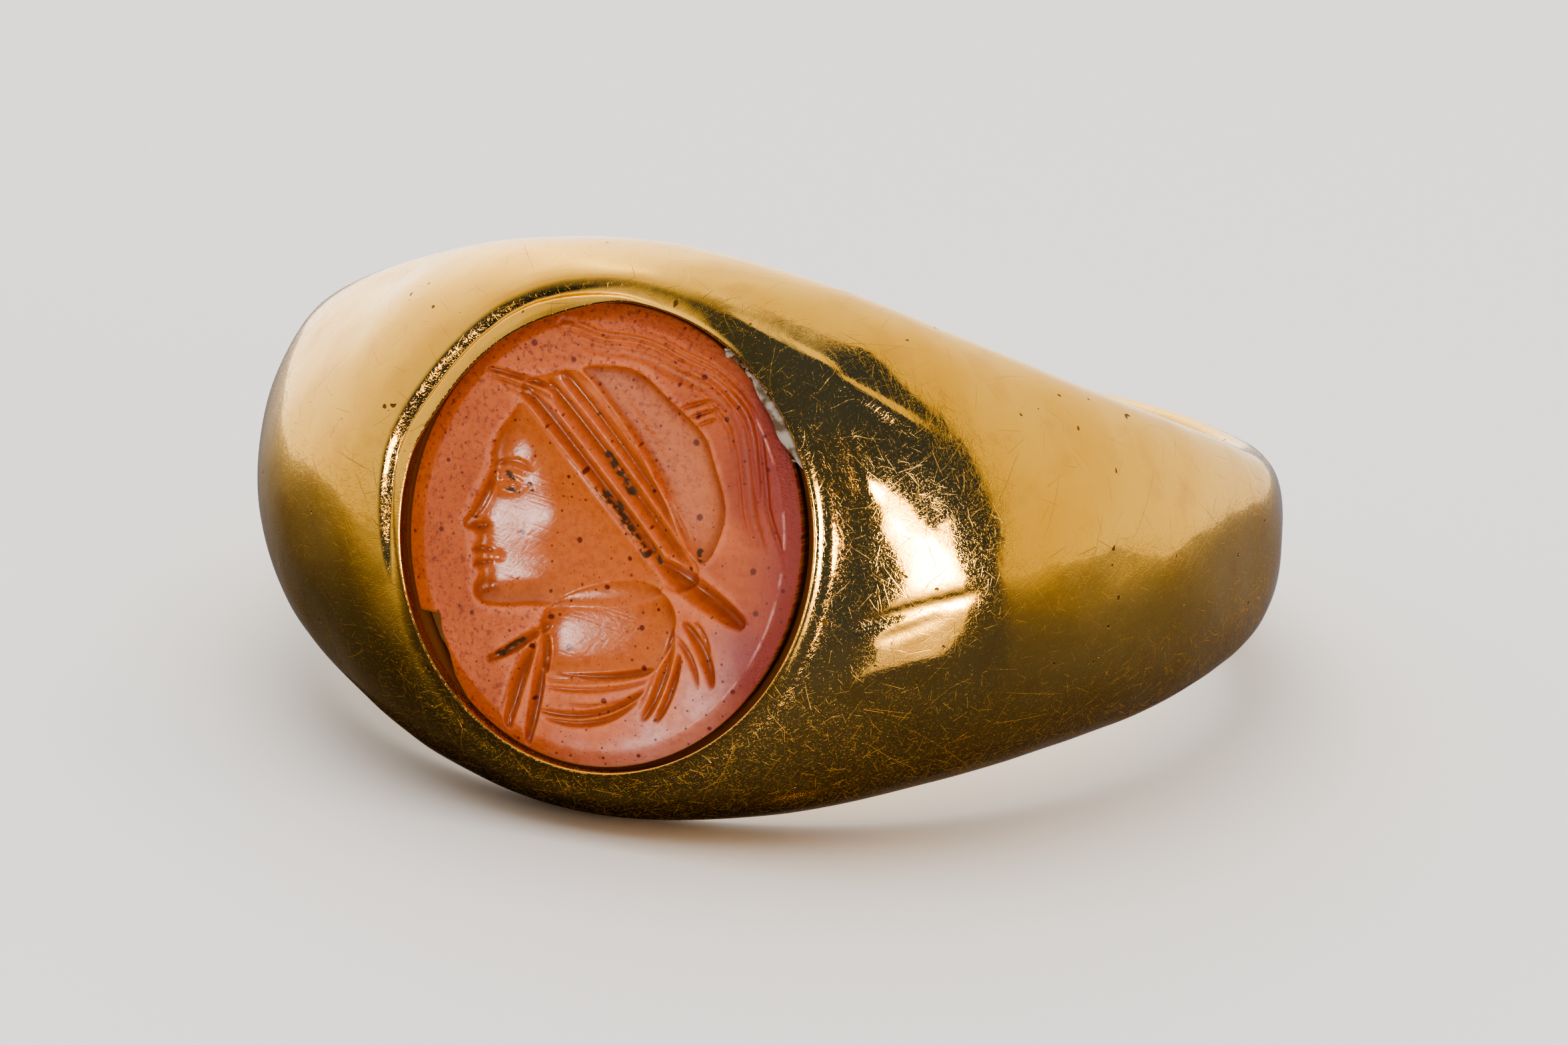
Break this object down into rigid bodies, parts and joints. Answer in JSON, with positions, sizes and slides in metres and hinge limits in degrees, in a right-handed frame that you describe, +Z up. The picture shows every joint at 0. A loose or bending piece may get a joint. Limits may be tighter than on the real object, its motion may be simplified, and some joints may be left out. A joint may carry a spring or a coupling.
{
  "type": "intaglio finger ring",
  "caption": "Wide-shouldered gold finger ring with a flat oval bezel, set with a carnelian engraved with a helmeted bust in profile.",
  "frame": {"origin": "on the surface that the ring lies on, under the middle of its bounding box", "axes": "+Z up, the bezel faces -Y and is turned up a little, +X across the finger"},
  "size_m": [0.0222, 0.0232, 0.0124],
  "materials": {
    "gold": "soft polished high-carat gold with fine hairline scratches and a few dark pits",
    "carnelian": "orange-red carnelian, satin on the face and polished inside the cuts",
    "bedding": "chalky white bedding"
  },
  "bodies": {
    "root": {"ring": "gold", "intaglio": "carnelian", "bedding": "bedding"}
  },
  "joints": []
}
